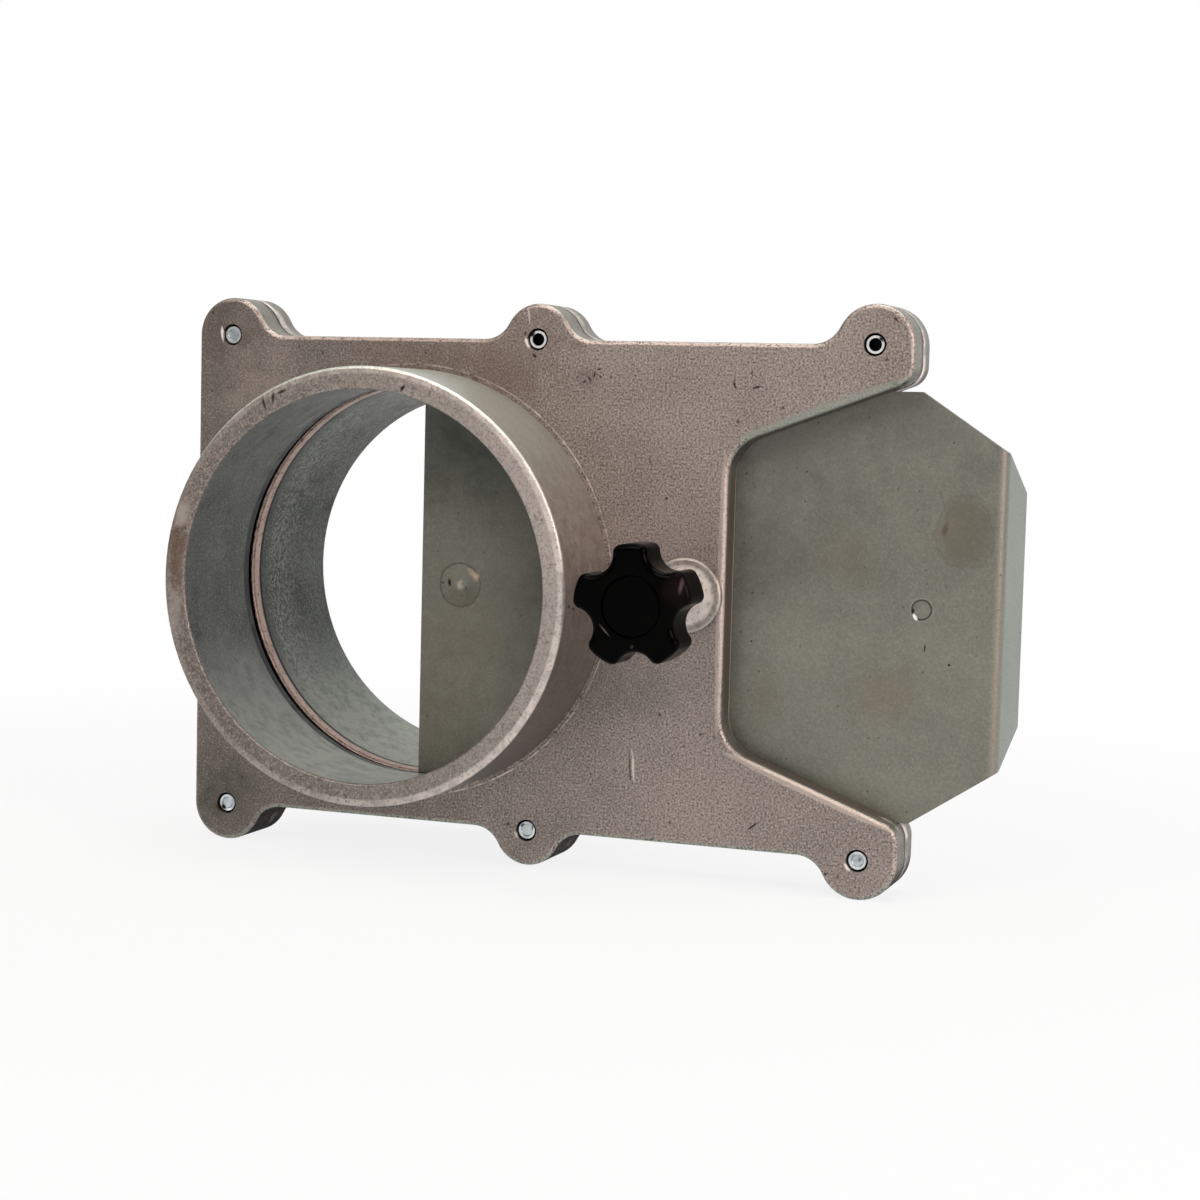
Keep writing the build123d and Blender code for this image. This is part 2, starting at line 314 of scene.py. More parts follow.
@dataclass(frozen=True)
class SandCastAluminium:
    """Aluminium cast in sand, with spigots turned outside and a core's rough skin in the bore.

    To the eye that is a dull sheen with a fine sand grain: warm grey on the plates, greener on the sides as
    painted light.
    Rims, edges and the boss are bright from wear and nicked, with painted highlights mostly on their upper
    right;
    the plate is painted lighter towards the blade's end, the spigot paler on top and darker low down,
    walls that look down and the bore's edge at the slot get painted shade, and the bore stays dark.
    """

    name: str = "sand_cast_aluminium_turned_spigots"
    grey_hex: str = "#68625d"
    warm_hex: str = "#9e918b"
    wall_hex: str = "#807e75"
    pit_hex: str = "#2b2624"
    fleck_hex: str = "#c6b8b1"
    edge_hex: str = "#c6b4ab"
    spigot_hex: str = "#b2a49c"
    spigot_dark_hex: str = "#9b8c84"
    spigot_lit_top_hex: str = "#b6b9b0"
    spigot_shaded_low_hex: str = "#5c5a57"
    bore_hex: str = "#363935"
    bore_light_hex: str = "#8f9189"
    dust_hex: str = "#a2a49b"
    soot_and_shade_hex: str = "#030303"
    underside_shade_hex: str = "#100e0d"
    glint_hex: str = "#fbefe8"
    crest_highlight_hex: str = "#d3d7cd"
    shade_hex: str = "#8f958a"
    seam_brown_hex: str = "#6a5044"
    ring_hex: str = "#b79e93"
    rim_hex: str = "#7d746e"
    rim_highlight_hex: str = "#e4d8d1"
    boss_hex: str = "#d6c8c0"
    metallic: float = 0.7
    skin_roughness: float = 0.46
    spigot_roughness: float = 0.38
    mottle_mm: float = 22.0
    blotch_mm: float = 4.0
    # Real sand grain is about half as wide, and is drawn this coarse so that it shows
    grain_mm: float = 0.5
    core_grain_mm: float = 1.0
    smear_mm: float = 4.0
    pit_mm: float = 3.4
    relief_mm: float = 0.08
    seam_y: float = 8.0
    plate_depth: float = 8.0
    rim_depth: float = 36.3
    spigot_radius: float = 50.8
    foot_width: float = 1.2
    throat_radius: float = 47.5
    boss_x: float = 70.0
    boss_radius: float = 8.8
    boss_height: float = 1.4
    marks: tuple[Mark, ...] = (
        Mark((10, 0, 53), 70, 22, "#6f5547", strength=0.45, core=0),
        Mark((24, 0, 48), 26, 16, "#6f5547", turn=-35, strength=0.45, core=0),
        Mark((-52, 0, 58), 30, 30, "#5a4a41", strength=0.5, core=0),
        Mark((-40, 0, 42), 34, 30, "#a3948b", strength=0.5, core=0),
        Mark((60, 0, -22), 34, 20, "#66645f", strength=0.45, core=0),
        # A raised scratch: a painted lit line with a painted shaded line beside it
        Mark((58.3, 0, -41), 9.2, 0.7, "#d9cdc4", turn=95),
        Mark((57.5, 0, -41), 9.2, 0.6, "#3d3633", turn=95, strength=0.8),
        Mark((44.8, 0, 49.8), 9, 5, "#5f5350", strength=0.5, core=0),
        Mark((47.2, 0, 51.5), 1.7, 0.5, "#2a2322", turn=20),
        Mark((46.2, 0, 50.3), 2, 0.5, "#2a2322", turn=80),
        Mark((47.6, 0, 49.9), 1.2, 0.5, "#2a2322", turn=-40),
        Mark((45, 0, 49.2), 1.5, 0.5, "#2a2322", turn=-55),
        Mark((43.6, 0, 48.6), 1.5, 0.5, "#2a2322", turn=25),
        Mark((42, 0, 49.6), 1.3, 0.5, "#2a2322", turn=60, strength=0.6),
        Mark((29.4, 0, 63.6), 4.2, 0.8, "#d8c8be", turn=98),
        Mark((28.6, 0, 59.6), 1.6, 0.7, "#2b2523", turn=60),
        Mark((30.9, 0, 54.4), 1.6, 0.8, "#1b1716", turn=-40),
        Mark((-50, 0, -57), 34, 26, "#46473f", strength=0.65, core=0),
        Mark((80.3, 0, 48.5), 3.2, 0.6, "#2b2523", turn=-70),
        Mark((85.5, 0, 48.2), 2.2, 0.7, "#2b2523", turn=10),
        Mark((87.8, 0, -52.3), 3.6, 0.6, "#2b2523", turn=42),
        Mark((31.7, 0, 60), 26, 20, "#6a5a51", strength=0.35, core=0),
        Mark((117.1, 0, 63.9), 2, 0.8, "#4a3a32", turn=-45),
        Mark((119.4, 0, 49.8), 2.6, 1, "#3a2e28", turn=40),
        Mark((117.6, 0, 49.6), 1.8, 0.8, "#4a3a32", turn=20),
        Mark((-24.9, -28.3, 41.7), 4.2, 0.9, "#3c3431", turn=-70),
        Mark((-22.6, -28.3, 43), 3.4, 0.9, "#3c3431", turn=80),
        Mark((-20.4, -28.3, 44.4), 2.6, 0.9, "#3c3431", turn=25),
        Mark((10.5, -28.3, 45.9), 2.2, 1, "#221d1c", turn=50),
        Mark((-47.8, -28.3, 8), 9, 26, "#6a5042", strength=0.7, core=0.2),
        Mark((-46.5, -28.3, 15.5), 6, 7, "#b6aba4", strength=0.7, core=0.3),
        Mark((-48.5, -28.3, -9), 6, 18, "#a99d96", strength=0.6, core=0.2),
        Mark((50.8, -25.2, -1.9), 1.6, 1, "#372d29", wander=0.5, depth=1.1),
        Mark((50.7, -22.2, -2.6), 1.6, 0.9, "#372d29", wander=0.5, depth=1),
        # Painted highlights along the notch's edges: pinkish on the lower and inner edges, greenish on the
        # upper one
        Mark((100.9, 0, -43.5), 46, 2.2, "#d3c2b8", turn=-20.5, strength=0.6, core=0.85, wander=0.5),
        Mark((100.9, 0, 43.5), 46, 2.4, "#989e94", turn=20.5, strength=0.65, core=0.85, wander=0.5),
        Mark((78.4, 0, 0), 70, 2.2, "#d3c2b8", turn=90, strength=0.5, core=0.85, wander=0.5),
        Mark((101.5, 4.8, -42), 48, 6, "#66574d", -20.5, 0.7, core=0.8, wander=0, depth=3.8),
        Mark((79, 4.6, 0), 8, 76, "#66574d", strength=0.75, core=0.7, wander=0, depth=4.2),
        # Painted highlight: a thin bright line where the notch wall meets the blade
        Mark((79, 6.6, 0), 8, 76, "#e6dad2", strength=0.7, core=0.7, wander=1, depth=0.5),
        Mark((119.2, 4.5, -49.9), 9, 1.2, "#e6dad2", turn=-30, strength=0.8, core=0.3, depth=1.2),
        Mark((121.6, 7.2, -50.9), 3, 1.6, "#1b1716", turn=-30, core=0.6, depth=1),
        # Painted highlights: bright crescents at the edges of the screw holes
        Mark((-51.9, 0, 58.4), 4.4, 1.1, "#fbefe8", turn=95, core=0.5, wander=1.2),
        Mark((29.2, 0, 57.2), 3, 1.2, "#fbefe8", turn=-62, core=0.5, wander=1.2),
        Mark((29.2, 0, -59.3), 2.2, 0.9, "#fbefe8", turn=-60, strength=0.7, wander=1.2),
        Mark((110.2, 0, -59.8), 2.8, 1, "#fbefe8", turn=-50, core=0.5, wander=1.2),
        Mark((-51.4, 0, -59.6), 2.6, 1, "#5a3d31", turn=-50, core=0.5, wander=1.2),
    )

    def material(self) -> bpy.types.Material:
        """Builds the castings' material.

        Returns:
            The finished material.
        """
        material, add, coords = start_material(self.name)
        position = coords.outputs["Object"]

        # Where a point lies and which way it faces
        place = add(Node.SPLIT, {0: position})
        along = place.outputs["Y"]
        from_seam = add(Node.MATH, {0: along, 1: self.seam_y * MM}, operation="SUBTRACT")
        depth = add(Node.MATH, {0: from_seam}, operation="ABSOLUTE")
        across = add(Node.VECTOR, {0: position, 1: (1.0, 0.0, 1.0)}, operation="MULTIPLY")
        radius = add(Node.VECTOR, {0: across}, operation="LENGTH")
        boss_middle = (self.boss_x * MM, 0.0, 0.0)
        boss_reach = add(Node.VECTOR, {0: across, 1: boss_middle}, operation="DISTANCE")
        normal = add(Node.SPLIT, {0: coords.outputs["Normal"]})
        facing = add(Node.MATH, {0: normal.outputs["Y"]}, operation="ABSOLUTE")
        upright = normal.outputs["Z"]

        # How far a point looks up and towards the blade's end, the side where edges and the seam get painted
        # highlights
        rub = {0: coords.outputs["Normal"], 1: (0.9, 0.0, 0.45)}
        lit_way = add(Node.VECTOR, rub, operation="DOT_PRODUCT")

        # Patterns of the skin, from broad mottling down to the sand grain
        mottle, blotch, grain, core_grain, smear = (
            add(Node.NOISE, {0: position, "Scale": per_metre(size), "Detail": 2.0, "Roughness": 0.65})
            for size in (self.mottle_mm, self.blotch_mm, self.grain_mm, self.core_grain_mm, self.smear_mm)
        )
        cells = add(Node.CELLS, {0: position, "Scale": per_metre(self.pit_mm)})
        pit_choice = add(Node.CHANNELS, {0: cells.outputs["Color"]})

        # Masks by place: what each is measured on, and the sizes in mm where it is out and full
        plate = self.plate_depth
        throat = self.throat_radius
        spigot_out = self.spigot_radius
        boss_out = self.boss_radius
        foot = spigot_out + self.foot_width
        boss_face = 0.3 - self.boss_height
        by_place = {
            "proud": (depth, plate + 0.05, plate + 0.15),
            "outer": (radius, spigot_out - 0.9, spigot_out - 0.3),
            "close": (radius, spigot_out + 0.4, spigot_out + 0.2),
            "inner": (radius, throat + 0.5, throat + 0.2),
            "not_bore": (radius, throat + 0.5, throat + 0.8),
            "back": (from_seam, 6.0, 10.5),
            "lip": (radius, throat + 1.6, throat + 1.4),
            "lip_front": (from_seam, 1.3, 1.4),
            "lip_back": (from_seam, 4.3, 4.0),
            "groove_front": (from_seam, 4.0, 4.3),
            "groove_back": (from_seam, 5.4, 4.9),
            "sooty_front": (from_seam, -4.1, -3.7),
            "sooty_back": (from_seam, 1.4, 1.3),
            "foot_in": (radius, foot - 0.35, foot - 0.2),
            "foot_out": (radius, foot + 0.15, foot),
            "rim": (depth, self.rim_depth - 0.9, self.rim_depth - 0.4),
            "rim_edge": (radius, spigot_out - 1.9, spigot_out - 1.4),
            "boss_top": (along, boss_face, boss_face - 0.1),
            "boss_round": (boss_reach, boss_out, boss_out - 0.3),
            "boss_edge": (boss_reach, boss_out - 2.4, boss_out - 1.4),
            "low": (place.outputs["Z"], 12.0, -40.0),
            "seam": (depth, 0.6, 0.3),
            "seam_rust": (depth, 2.2, 0.4),
            "seam_edge": (from_seam, 4.0, 1.8),
            "seam_back": (from_seam, 0.3, 0.9),
        }

        # Masks by pattern and by the way a point faces, with their lowest and highest share
        by_look = {
            "wall": (facing, 0.45, 0.2, 0.0, 1.0),
            "edge_low": (facing, 0.15, 0.4, 0.0, 1.0),
            "edge_high": (facing, 0.998, 0.96, 0.0, 1.0),
            "plain": (facing, 0.1, 0.6, 0.35, 1.0),
            "upward": (upright, 0.3, 0.95, 0.0, 1.0),
            "crest": (upright, 0.1, 0.4, 0.0, 1.0),
            "downward": (upright, -0.1, -0.4, 0.0, 1.0),
            "below": (upright, 0.05, -0.7, 0.0, 1.0),
            "rubbed": (lit_way, -0.45, 0.35, 0.08, 1.0),
            "far_back": (from_seam, 24.0 * MM, 11.0 * MM, 0.3, 1.0),
            # The lean rises towards the blade's end; it paints light on the plate and the rim
            "lean": (place.outputs["X"], -65.0 * MM, 55.0 * MM, 0.0, 0.7),
            "cloud": (mottle, 0.34, 0.64, 0.0, 0.35),
            "patch": (blotch, 0.36, 0.62, 0.0, 1.0),
            "worn": (blotch, 0.35, 0.6, 0.4, 1.0),
            "fleck": (grain, 0.51, 0.68, 0.0, 0.8),
            "hollow": (grain, 0.48, 0.3, 0.0, 0.8),
            "nick": (core_grain, 0.46, 0.32, 0.0, 0.7),
            "core_skin": (core_grain, 0.4, 0.7, 0.0, 0.85),
            "pit_core": (cells, 0.15, 0.06, 0.0, 1.0),
            "pit_kept": (pit_choice, 0.6, 0.9, 0.0, 0.8),
        }
        rows = {name: (measure, out * MM, full * MM) for name, (measure, out, full) in by_place.items()}
        rows.update(by_look)
        masks = {name: add(Node.RANGE, dict(enumerate(row))) for name, row in rows.items()}
        on = SimpleNamespace(**masks)

        # Regions of the casting, and the plate's tone: lighter and warmer towards the blade's end, which is
        # painted light, with random mottling over it
        spigot = overlap(add, on.proud, on.outer, on.close, on.wall)
        bore = overlap(add, on.inner, on.wall)
        edge = overlap(add, on.edge_low, on.edge_high)
        ring = overlap(add, on.lip, on.lip_front, on.lip_back)
        boss = overlap(add, on.boss_top, on.boss_round)
        boss_inner = add(Node.MATH, {0: 1.0, 1: on.boss_edge}, operation="SUBTRACT")
        # Painted shade on low walls that look down
        shaded_underside = overlap(add, on.wall, on.below, on.low)
        tone = add(Node.MATH, {0: on.lean, 1: on.cloud}, operation="ADD")
        grainy = add(Node.RANGE, {0: tone, 1: 0.1, 2: 0.75, 3: 0.45, 4: 1.0})
        layers = [
            (self.warm_hex, tone),
            # Painted light: the sides greener than the plates
            (self.wall_hex, on.wall, 0.85),
            # Painted shade on walls that look down
            (self.pit_hex, on.wall, on.downward, 0.7),
            # Edges bright from wear, with painted highlights where they look up and towards the blade's end
            (self.edge_hex, edge, on.worn, on.rubbed),
            (self.shade_hex, edge, on.downward),
            (self.pit_hex, edge, on.nick, 0.8),
            # Brown beside the seam
            (self.seam_brown_hex, on.wall, on.seam_rust, on.patch, 0.8),
            # Painted highlight along the side behind the seam
            (self.glint_hex, on.wall, on.seam_edge, on.seam_back, on.rubbed, on.patch),
            (self.soot_and_shade_hex, on.wall, on.seam, on.not_bore),
            (self.underside_shade_hex, shaded_underside),
            # Painted highlight along the spigot's foot
            (self.glint_hex, on.foot_in, on.foot_out, facing, on.patch),
            (self.fleck_hex, on.fleck, grainy, on.plain),
            (self.pit_hex, on.hollow, grainy, on.plain),
            (self.pit_hex, on.pit_core, on.pit_kept),
            (self.spigot_dark_hex, spigot),
            (self.spigot_hex, spigot, on.patch),
            # Painted light: the spigot paler on top and darker low down
            (self.spigot_lit_top_hex, spigot, on.upward),
            (self.spigot_shaded_low_hex, spigot, on.low),
            (self.pit_hex, spigot, on.hollow, 0.4),
            (self.fleck_hex, spigot, on.core_skin, 0.2),
            (self.bore_hex, bore),
            (self.bore_light_hex, bore, on.patch, on.cloud),
            (self.bore_light_hex, bore, on.fleck, 0.45),
            (self.soot_and_shade_hex, bore, on.hollow, 0.6),
            (self.bore_light_hex, bore, on.back, on.far_back, on.core_skin),
            (self.dust_hex, bore, on.upward, on.worn),
            # Painted light: a pink ring on the rear throat's edge beyond the slot
            (self.ring_hex, ring),
            (self.pit_hex, ring, on.nick),
            (self.soot_and_shade_hex, on.lip, on.groove_front, on.groove_back),
            # Painted shade: the front bore's last few millimetres and the slot painted black
            (self.soot_and_shade_hex, on.lip, on.sooty_front, on.sooty_back),
            (self.rim_hex, on.rim, 0.8),
            # Painted highlights on the rim: more towards the blade's end, and along its upper outer edge
            (self.rim_highlight_hex, on.rim, on.lean, on.lean),
            # Painted shade: the rim darker low down
            (self.spigot_shaded_low_hex, on.rim, on.low, 0.4),
            (self.crest_highlight_hex, on.rim, on.rim_edge, on.crest),
            (self.glint_hex, on.rim, on.rim_edge, on.worn, on.lean),
            (self.fleck_hex, on.rim, on.fleck, 0.5),
            (self.pit_hex, on.rim, on.hollow, 0.35),
            (self.pit_hex, on.rim, on.nick, on.patch, 0.65),
            # The boss: bright from wear on top, with painted highlights, and painted shade on its rounded
            # edge
            (self.boss_hex, boss),
            (self.glint_hex, boss, on.patch),
            (self.grey_hex, boss, on.boss_edge, 0.6),
            (self.glint_hex, boss, boss_inner, 0.75),
            (self.pit_hex, boss, on.nick, 0.5),
        ]
        waves = add(Node.VECTOR, {0: smear.outputs["Color"], 1: HALF}, operation="SUBTRACT")
        layers += [mark.layer(add, position, waves) for mark in self.marks]
        colour = lay_over(add, self.grey_hex, layers)

        # Roughness: patchy on the skin, finer where the tool has been
        finest, coarsest = self.skin_roughness - 0.08, self.skin_roughness + 0.1
        skin_rough = add(Node.RANGE, {0: blotch, 1: 0.3, 2: 0.7, 3: finest, 4: coarsest})
        dull = add(Node.MIX, {0: shaded_underside, 2: skin_rough, 3: 1.0})
        rough = add(Node.MIX, {0: spigot, 2: dull, 3: self.spigot_roughness})

        # Relief: sand grain and waves, both weaker on the turned wall
        swell = add(Node.MATH, {0: grain, 1: 0.8, 2: blotch}, operation="MULTIPLY_ADD")
        fine = add(Node.MATH, {0: swell, 1: 0.25}, operation="MULTIPLY")
        height = add(Node.MIX, {0: spigot, 2: swell, 3: fine})
        relief = add(Node.BUMP, {"Height": height, "Distance": self.relief_mm * MM})
        look = {"Base Color": colour, "Roughness": rough, "Normal": relief, "Metallic": self.metallic}
        add(Node.OUTPUT, {"Surface": add(Node.SHADER, look)})
        return material


@dataclass(frozen=True)
class GalvanisedSheet:
    """Rolled steel sheet with a hot-dip zinc skin that has gone dull.

    To the eye that is an even olive grey with faint rolling lines, dark specks and a few brown stains.
    """

    name: str = "galvanised_steel_rolled_sheet"
    dark_hex: str = "#7a7a70"
    light_hex: str = "#86857b"
    speck_hex: str = "#37332c"
    shine_hex: str = "#c4c3b6"
    fold_highlight_hex: str = "#8e877d"
    pull_highlight_hex: str = "#90978f"
    metallic: float = 0.65
    roughness: float = 0.42
    cloud_mm: float = 18.0
    smear_mm: float = 5.0
    # Real rolling lines are far finer, and are drawn this coarse so that they show
    line_mm: float = 0.8
    line_stretch: float = 30.0
    speck_mm: float = 2.4
    grain_mm: float = 0.5
    relief_mm: float = 0.01
    marks: tuple[Mark, ...] = (
        Mark((10, 7.2, -16), 44, 64, "#6f6450", strength=0.45, core=0),
        # Painted shade: the next four marks darken the blade at the top and right of the bore, under the
        # spigot, and at its top beside the notch
        Mark((20, 7.2, 36), 76, 60, "#454741", core=0, wander=0.8),
        Mark((34, 7.2, 0), 40, 90, "#4c4d45", strength=0.9, core=0, wander=0.8),
        Mark((104, 7.2, 48), 130, 50, "#595a58", strength=0.4, core=0),
        Mark((88, 7.2, 30), 34, 44, "#595c5a", strength=0.4, core=0),
        Mark((132.8, 7.2, 17.2), 13.5, 17.5, "#695f50", strength=0.45, core=0.75, wander=0.6),
        Mark((132.8, 7.2, 17.2), 14, 18, "#5f5143", strength=0.35, core=0.9, hollow=0.85, wander=0.6),
        Mark((128.2, 7.2, 17.3), 1.6, 5, "#5d4a3f", turn=-10, strength=0.7, core=0.2),
        Mark((115.9, 7.2, -19.7), 18, 20, "#7a6657", strength=0.4, core=0),
        Mark((105.5, 7.2, 9.5), 18, 16, "#7a6f60", strength=0.4, core=0),
        Mark((86.5, 7.2, -24), 12, 16, "#7a6a5a", strength=0.4, core=0),
        Mark((124.7, 7.2, -9.6), 2.6, 0.5, "#2f2b25", turn=86, wander=0.6),
        Mark((130.4, 7.2, -13.1), 0.9, 0.8, "#1b1917", wander=0.6),
        Mark((123.7, 7.2, -1), 5, 5, "#38352f", strength=0.8, core=0.94, hollow=0.78, wander=0.2),
        Mark((123.7, 7.2, -1), 5.7, 5.7, "#9c9c94", strength=0.5, core=0.95, hollow=0.87, wander=0.2),
        Mark((121.7, 7.2, -1.3), 1.5, 0.8, "#0d0c0b", turn=75, wander=0.5),
        # Painted highlight at the lower left of the ring mark
        Mark((122.2, 7.2, -2.7), 2, 0.9, "#ffffff", turn=-58, core=0.7, wander=0.4),
        # The dimple's dark outline is painted shade, and the pink patch at its upper right a painted
        # highlight
        Mark((10.1, 7.2, -1), 11, 11, "#37342d", strength=0.55, core=0.97, hollow=0.88, wander=0.2),
        Mark((13.6, 7.4, 1.8), 4.4, 2.6, "#d9b5a4", turn=-40, strength=0.75, core=0.2),
        Mark((9.9, 7.8, -0.2), 2.4, 1.4, "#c9b3a6", turn=35, strength=0.6, core=0.2),
        Mark((7.2, 7.4, -0.7), 1.3, 1.9, "#080807", turn=15, wander=3),
        Mark((5.4, 7.2, -0.7), 0.8, 0.9, "#2a2822", strength=0.8),
    )

    def material(self) -> bpy.types.Material:
        """Builds the blade's material.

        Returns:
            The finished material.
        """
        material, add, coords = start_material(self.name)
        position = coords.outputs["Object"]
        cloud, smear = (
            add(Node.NOISE, {0: position, "Scale": per_metre(size), "Detail": 3.0, "Roughness": 0.65})
            for size in (self.cloud_mm, self.smear_mm)
        )
        along = add(Node.PLACE, {0: position, "Scale": (1.0, 1.0, 1.0 / self.line_stretch)})
        lines = add(Node.NOISE, {0: along, "Scale": per_metre(self.line_mm), "Detail": 2.0, "Roughness": 0.6})
        grain = add(Node.NOISE, {0: position, "Scale": per_metre(self.grain_mm), "Detail": 1.0})
        fine_dark = add(Node.RANGE, {0: grain, 1: 0.48, 2: 0.3, 3: 0.0, 4: 0.12})
        fine_light = add(Node.RANGE, {0: grain, 1: 0.52, 2: 0.7, 3: 0.0, 4: 0.1})
        waves = add(Node.VECTOR, {0: smear.outputs["Color"], 1: HALF}, operation="SUBTRACT")
        cells = add(Node.CELLS, {0: position, "Scale": per_metre(self.speck_mm)})
        choice = add(Node.CHANNELS, {0: cells.outputs["Color"]})
        kept = add(Node.RANGE, {0: choice, 1: 0.5, 2: 1.0, 3: 0.0, 4: 0.9})
        core = add(Node.RANGE, {0: cells, 1: 0.14, 2: 0.07})
        tone = add(Node.RANGE, {0: cloud, 1: 0.35, 2: 0.65})
        streak = add(Node.RANGE, {0: lines, 1: 0.5, 2: 0.72, 3: 0.0, 4: 0.25})

        # Painted highlights on the fold and the pull, which look towards the side
        normal = add(Node.SPLIT, {0: coords.outputs["Normal"]})
        upright = add(Node.MATH, {0: normal.outputs["Z"]}, operation="ABSOLUTE")
        sheet_face = add(Node.RANGE, {0: upright, 1: 0.3, 2: 0.1})
        lit_fold = add(Node.RANGE, {0: normal.outputs["X"], 1: 0.05, 2: 0.5})
        lit_pull = add(Node.RANGE, {0: normal.outputs["X"], 1: 0.8, 2: 0.95})
        layers = [
            (self.light_hex, tone),
            (self.light_hex, streak),
            (self.fold_highlight_hex, lit_fold, sheet_face),
            (self.pull_highlight_hex, lit_pull, sheet_face),
            (self.speck_hex, core, kept),
            (self.speck_hex, fine_dark),
            (self.shine_hex, fine_light),
        ]
        layers += [mark.layer(add, position, waves) for mark in self.marks]
        colour = lay_over(add, self.dark_hex, layers)
        finest, coarsest = self.roughness - 0.05, self.roughness + 0.05
        rough = add(Node.RANGE, {0: cloud, 1: 0.3, 2: 0.7, 3: finest, 4: coarsest})
        relief = add(Node.BUMP, {"Height": lines, "Distance": self.relief_mm * MM})
        look = {"Base Color": colour, "Roughness": rough, "Normal": relief, "Metallic": self.metallic}
        add(Node.OUTPUT, {"Surface": add(Node.SHADER, look)})
        return material


@dataclass(frozen=True)
class ZincPlate:
    """Steel fasteners, rolled and turned, with a bright zinc plate.

    To the eye that is a cool silver with small clear highlights, and darker in the cups and on the shanks.
    """

    name: str = "zinc_plated_steel_rolled_thread"
    bright_hex: str = "#dde3e4"
    dull_hex: str = "#b3babe"
    cup_and_shank_dark_hex: str = "#141516"
    hidden_y: tuple[float, float] = (0.8, 15.6)
    roughness: float = 0.3
    cloud_mm: float = 1.6
    marks: tuple[Mark, ...] = (
        # Painted highlights and reflections on the screw points: bright rings and a crescent, and darker and
        # paler patches
        Mark((31.7, 0.5, 58.2), 4.4, 4.4, "#ffffff", core=0.98, hollow=0.62, wander=0, depth=0.6),
        Mark((112.5, 0.5, 58.2), 4.4, 4.4, "#ffffff", core=0.98, hollow=0.62, wander=0, depth=0.6),
        Mark((30.2, 0.5, 59.3), 2.4, 1.2, "#2c3030", turn=45, wander=0.8, depth=0.6),
        Mark((113.8, 0.5, 59.4), 1.8, 1, "#2c3030", turn=-45, wander=0.8, depth=0.6),
        Mark((-50.1, 0.5, -59.4), 2, 1.5, "#1c1f1f", turn=-35, wander=1, depth=0.6),
        Mark((-48.5, 0.5, -59.8), 1.6, 0.7, "#ffffff", turn=10, wander=0.6, depth=0.6),
        Mark((113, 0.5, -57.9), 1.7, 1.7, "#4d5654", wander=1.2, depth=0.6),
        Mark((111.4, 0.5, -57.4), 1.4, 2.2, "#aab7b0", turn=-20, strength=0.7, wander=1, depth=0.6),
        Mark((30.6, 0.5, -57), 1.6, 0.9, "#59615f", turn=40, wander=0.8, depth=0.6),
        Mark((33.1, 0.5, -57.6), 0.8, 2, "#59615f", turn=-15, wander=0.8, depth=0.6),
    )

    def material(self) -> bpy.types.Material:
        """Builds the fasteners' material.

        Returns:
            The finished material.
        """
        material, add, coords = start_material(self.name)
        position = coords.outputs["Object"]
        scale = per_metre(self.cloud_mm)
        cloud = add(Node.NOISE, {0: position, "Scale": scale, "Detail": 4.0, "Roughness": 0.65})
        tone = add(Node.RANGE, {0: cloud, 1: 0.35, 2: 0.6})

        # Darker in the cups and on the shanks inside the castings
        place = add(Node.SPLIT, {0: position})
        first, last = (limit * MM for limit in self.hidden_y)
        behind_tip = add(Node.RANGE, {0: place.outputs["Y"], 1: first, 2: first + 0.3 * MM})
        before_head = add(Node.RANGE, {0: place.outputs["Y"], 1: last, 2: last - 0.3 * MM})
        smear = add(Node.VECTOR, {0: cloud.outputs["Color"], 1: HALF}, operation="SUBTRACT")
        layers = [(self.bright_hex, tone), (self.cup_and_shank_dark_hex, behind_tip, before_head)]
        layers += [mark.layer(add, position, smear) for mark in self.marks]
        colour = lay_over(add, self.dull_hex, layers)
        dull = self.roughness + 0.12
        rough = add(Node.RANGE, {0: cloud, 1: 0.35, 2: 0.65, 3: dull, 4: self.roughness})
        look = {"Base Color": colour, "Roughness": rough, "Metallic": 1.0}
        add(Node.OUTPUT, {"Surface": add(Node.SHADER, look)})
        return material


